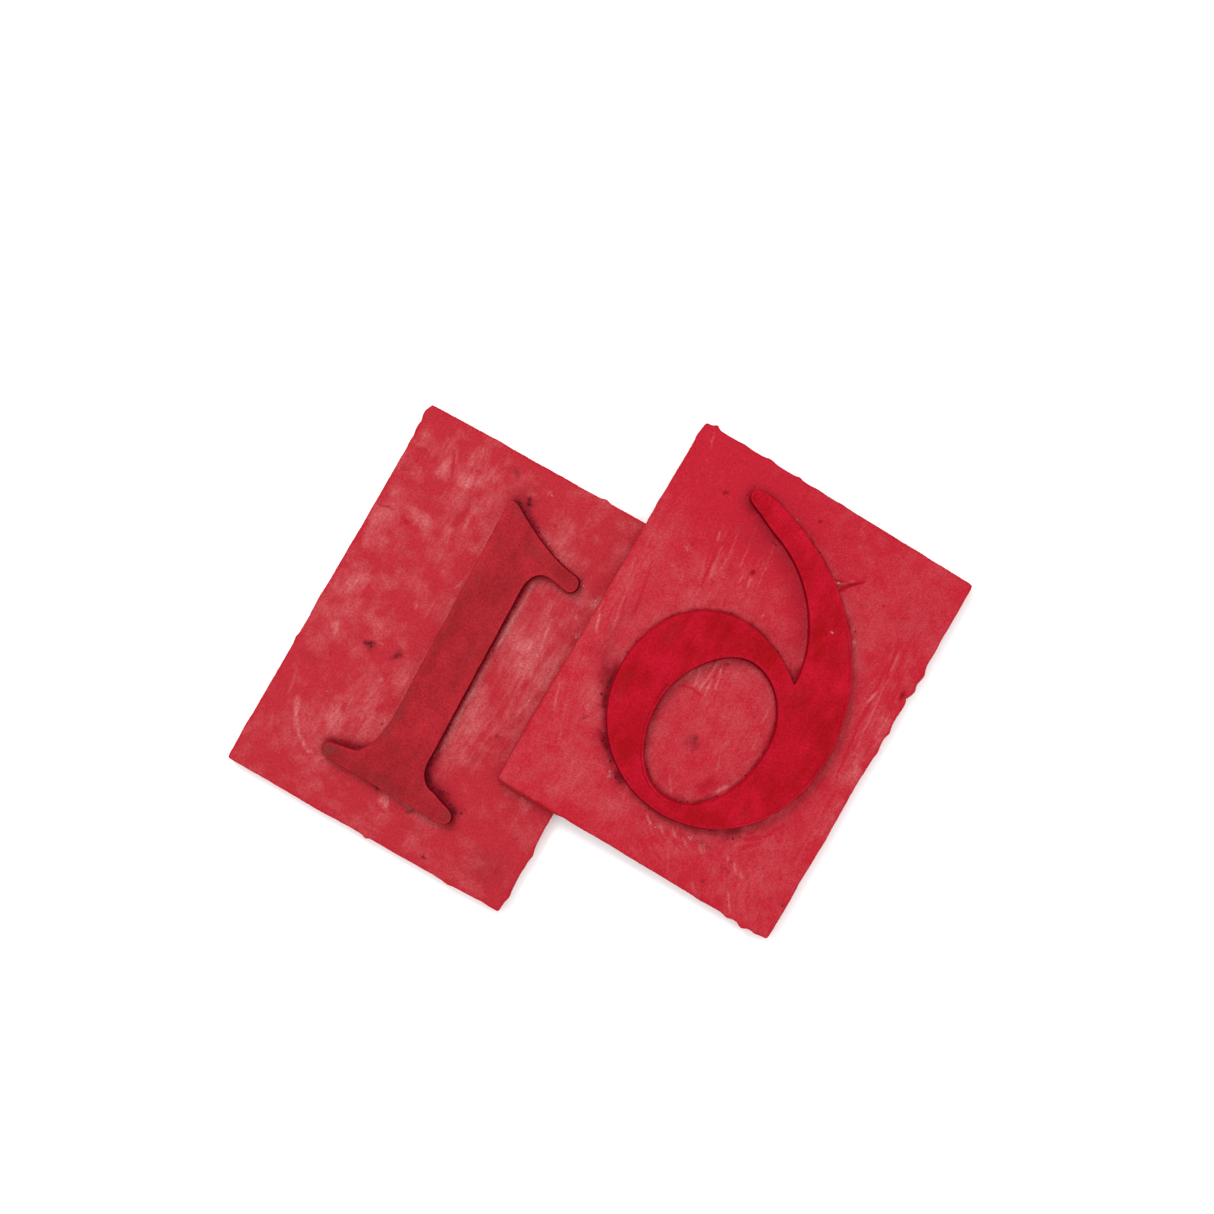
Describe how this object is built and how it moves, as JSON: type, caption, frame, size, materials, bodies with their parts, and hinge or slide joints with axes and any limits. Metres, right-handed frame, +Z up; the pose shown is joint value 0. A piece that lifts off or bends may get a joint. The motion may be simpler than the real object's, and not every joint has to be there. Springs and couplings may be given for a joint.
{
  "type": "numeral stamp die pair",
  "caption": "Thin hand-cut rubber stamp dies with raised mirror-image serif numerals, lying overlapped so that the upper one leans on the lower and lifts off it.",
  "frame": {"origin": "on the table, under the middle of the box round both dies", "axes": "+X across the dies from the lower one to the upper one, +Y towards the tops of the numerals, +Z up from the table"},
  "size_m": [0.0854, 0.0808, 0.005],
  "materials": {
    "one_plate_rubber": "matte, pale blotchy bloom, worn",
    "one_numeral_rubber": "matte, dirty dark red printing face",
    "six_plate_rubber": "matte, light bloom and scratches",
    "six_numeral_rubber": "satin, clean deep red printing face"
  },
  "bodies": {
    "one_die": {"one_plate": "one_plate_rubber", "one_numeral": "one_numeral_rubber"},
    "six_die": {"six_plate": "six_plate_rubber", "six_numeral": "six_numeral_rubber"}
  },
  "joints": [
    {"name": "lift_off", "type": "slide", "parent": "one_die", "child": "six_die", "axis": [0, 0, 1], "range_m": [0, 0.03]}
  ]
}
